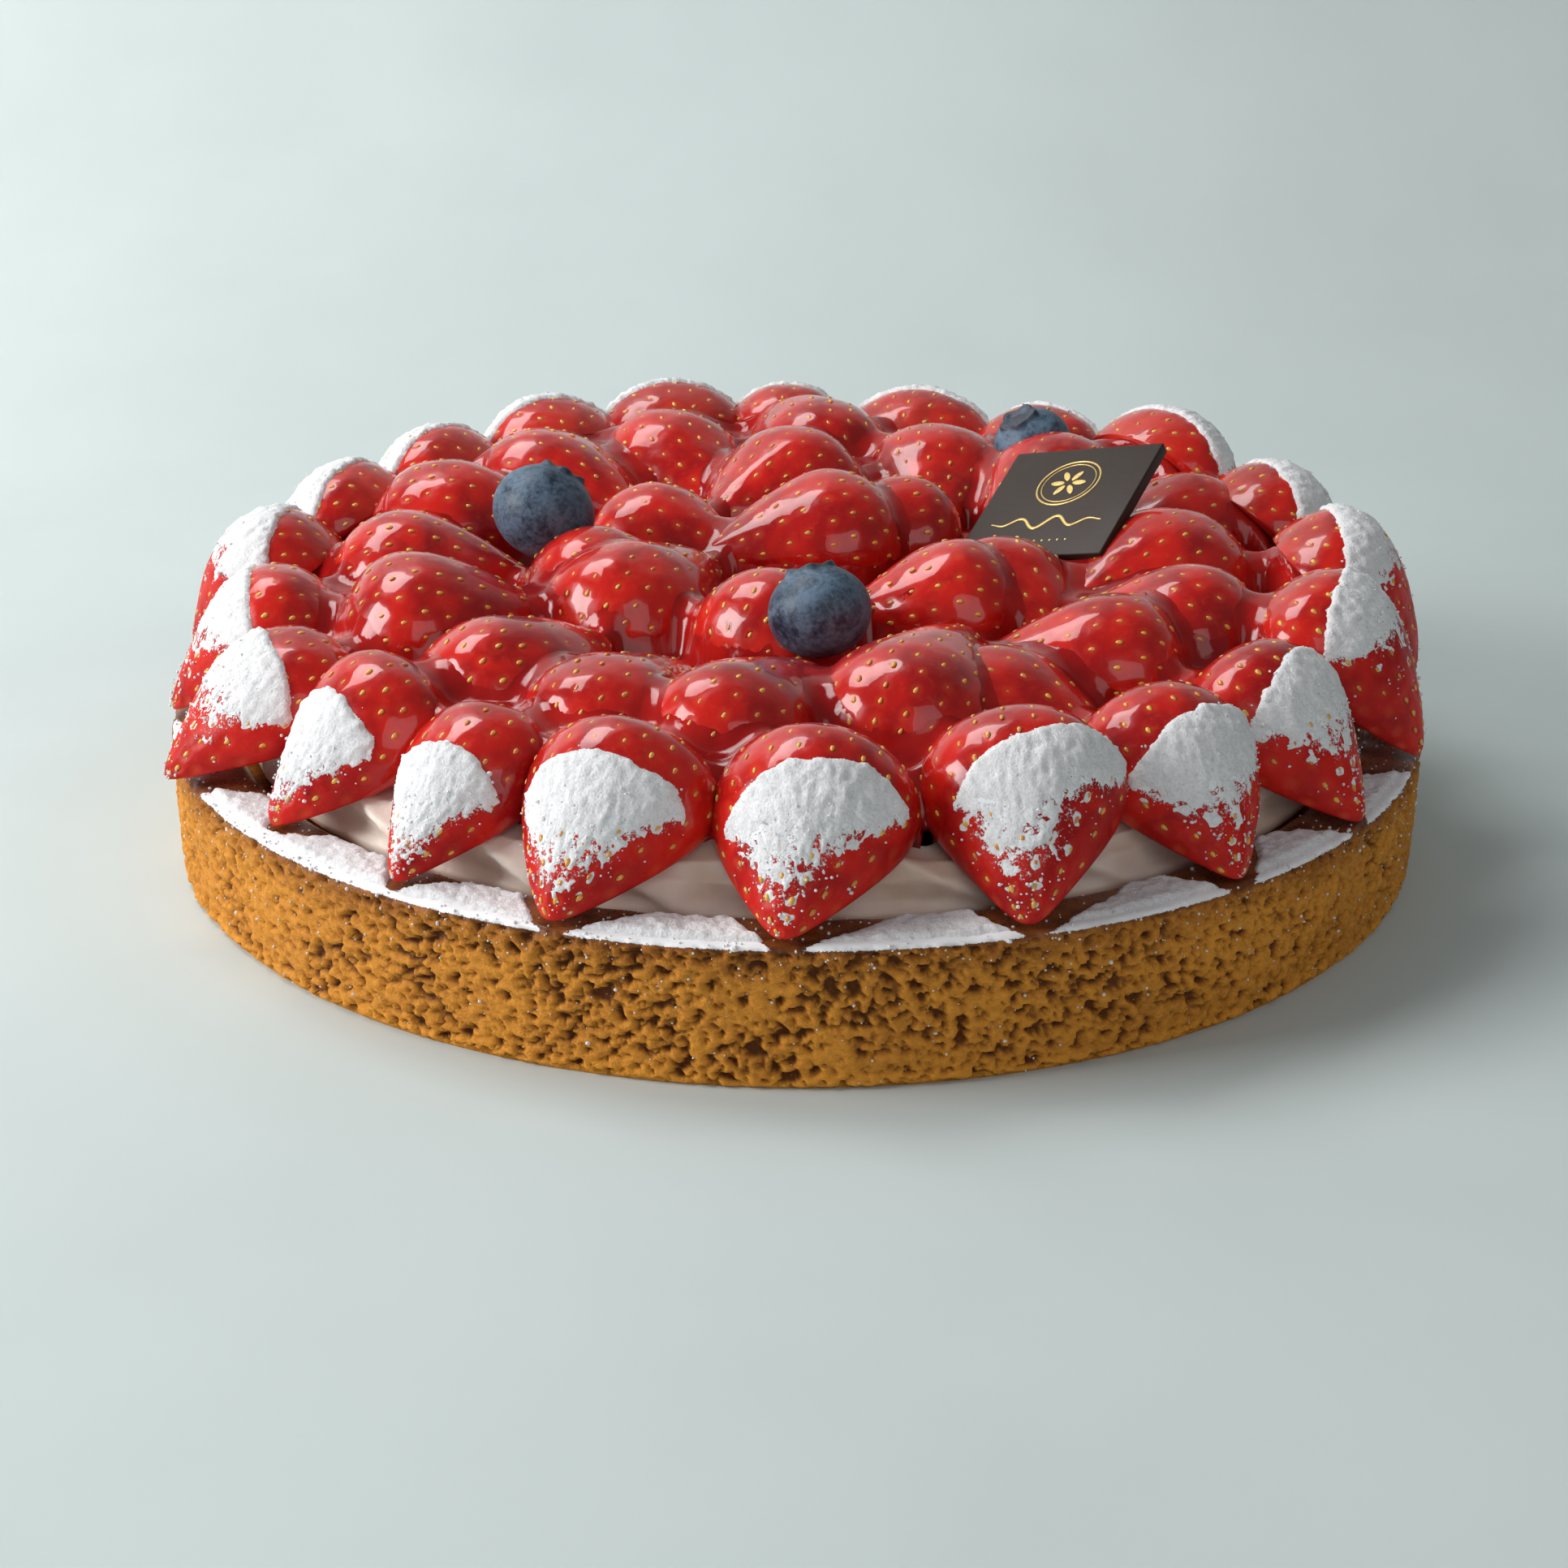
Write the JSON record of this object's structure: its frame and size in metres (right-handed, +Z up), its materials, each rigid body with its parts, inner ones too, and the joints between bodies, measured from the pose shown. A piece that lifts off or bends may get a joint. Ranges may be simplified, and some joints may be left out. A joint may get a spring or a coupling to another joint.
{
  "type": "strawberry tart",
  "caption": "Round open tart with a baked crumb crust, piped cream, shingled strawberry halves, blueberries and a small chocolate square.",
  "frame": {"origin": "centre of the crust's flat bottom, where the tart rests", "axes": "+Z up, the front of the tart faces -Y, +X to the right seen from the front"},
  "size_m": [0.2451, 0.2404, 0.0686],
  "materials": {
    "baked_crust": "porous baked crumb, golden to brown",
    "cream": "soft satin piped cream",
    "strawberry": "glossy fruit glaze over red flesh with pale seeds",
    "blueberry": "waxy bloom on dark blue skin",
    "dark_chocolate": "smooth satin chocolate",
    "glaze": "clear red glossy glaze",
    "sugar": "powdered sugar, matt and granular",
    "gold_print": "edible gold, satin"
  },
  "bodies": {
    "root": {"blueberry_1": "blueberry", "blueberry_2": "blueberry", "blueberry_3": "blueberry", "cream": "cream", "crust": "baked_crust", "plaque": "dark_chocolate", "strawberry_centre_01": "strawberry", "strawberry_centre_02": "strawberry", "strawberry_centre_03": "strawberry", "strawberry_centre_04": "strawberry", "strawberry_centre_05": "strawberry", "strawberry_centre_06": "strawberry", "strawberry_centre_07": "strawberry", "strawberry_centre_08": "strawberry", "strawberry_centre_09": "strawberry", "strawberry_middle_01": "strawberry", "strawberry_middle_02": "strawberry", "strawberry_middle_03": "strawberry", "strawberry_middle_04": "strawberry", "strawberry_middle_05": "strawberry", "strawberry_middle_06": "strawberry", "strawberry_middle_07": "strawberry", "strawberry_middle_08": "strawberry", "strawberry_middle_09": "strawberry", "strawberry_middle_10": "strawberry", "strawberry_middle_11": "strawberry", "strawberry_middle_12": "strawberry", "strawberry_middle_13": "strawberry", "strawberry_middle_14": "strawberry", "strawberry_middle_15": "strawberry", "strawberry_middle_16": "strawberry", "strawberry_middle_17": "strawberry", "strawberry_outer_01": "strawberry", "strawberry_outer_02": "strawberry", "strawberry_outer_03": "strawberry", "strawberry_outer_04": "strawberry", "strawberry_outer_05": "strawberry", "strawberry_outer_06": "strawberry", "strawberry_outer_07": "strawberry", "strawberry_outer_08": "strawberry", "strawberry_outer_09": "strawberry", "strawberry_outer_10": "strawberry", "strawberry_outer_11": "strawberry", "strawberry_outer_12": "strawberry", "strawberry_outer_13": "strawberry", "strawberry_outer_14": "strawberry", "strawberry_outer_15": "strawberry", "strawberry_outer_16": "strawberry", "strawberry_outer_17": "strawberry", "strawberry_outer_18": "strawberry", "strawberry_outer_19": "strawberry", "strawberry_outer_20": "strawberry", "strawberry_outer_21": "strawberry"}
  },
  "joints": []
}
